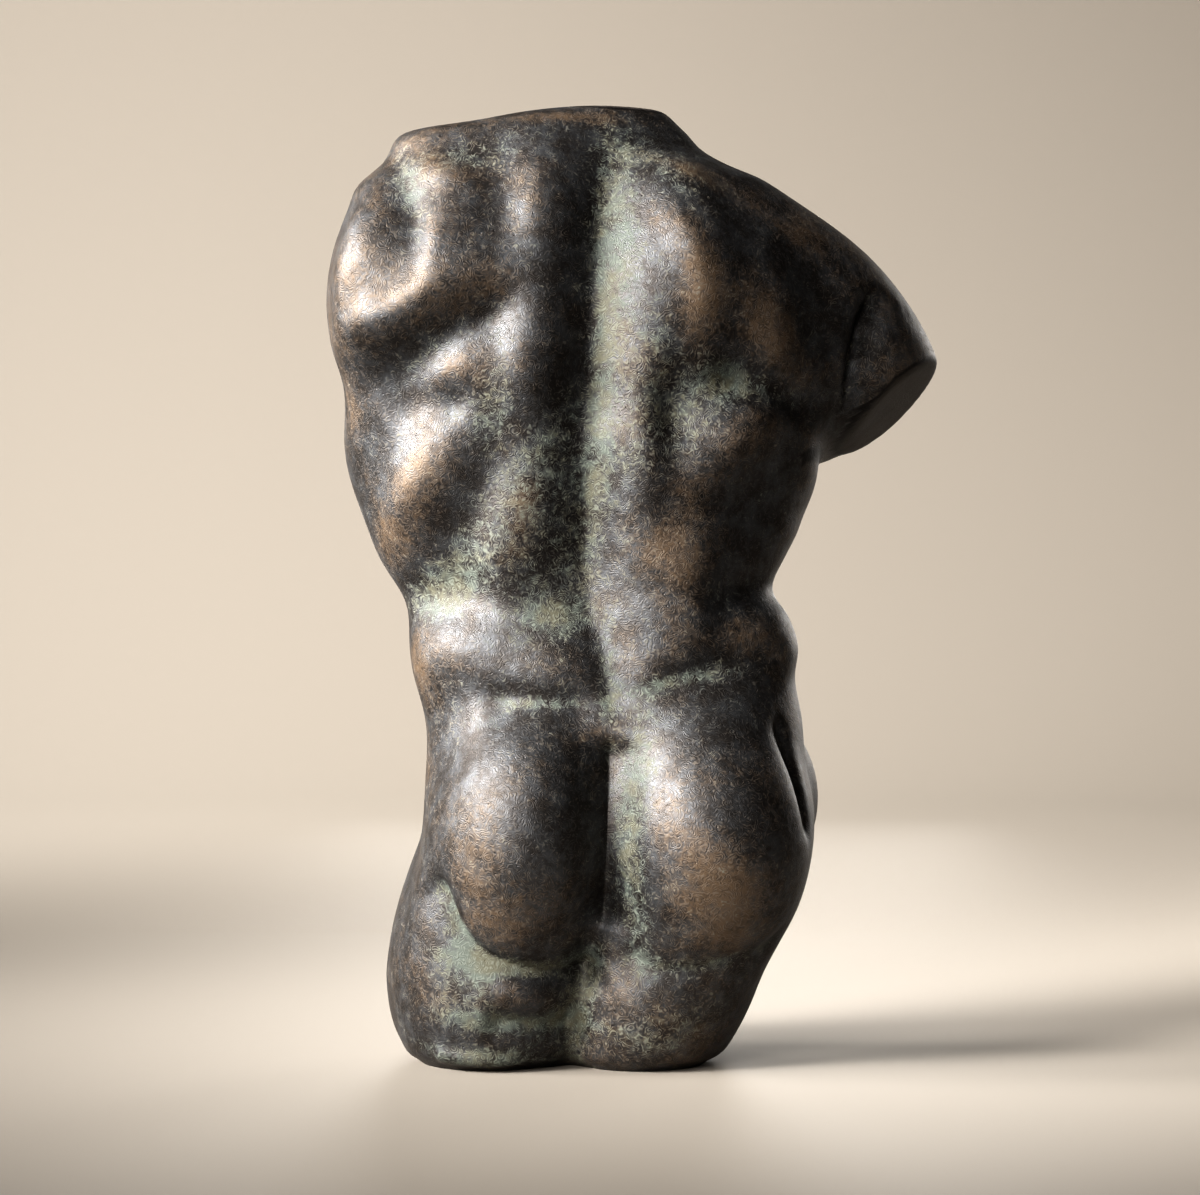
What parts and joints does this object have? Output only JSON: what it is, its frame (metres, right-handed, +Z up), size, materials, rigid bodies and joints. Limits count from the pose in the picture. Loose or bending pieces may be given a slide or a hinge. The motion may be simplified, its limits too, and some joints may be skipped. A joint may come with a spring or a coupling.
{
  "type": "terracotta torso sculpture",
  "caption": "Headless classical male torso without arms or lower legs, standing on its flat underside, with a dark bronze-coloured patina.",
  "frame": {"origin": "on the flat underside, between the thighs, where the figure stands", "axes": "+Z up the figure, +Y out of its chest and belly, +X out of its right side"},
  "size_m": [0.3823, 0.223, 0.6045],
  "materials": {
    "patinated_terracotta": "satin"
  },
  "bodies": {
    "root": {"torso": "patinated_terracotta"}
  },
  "joints": []
}
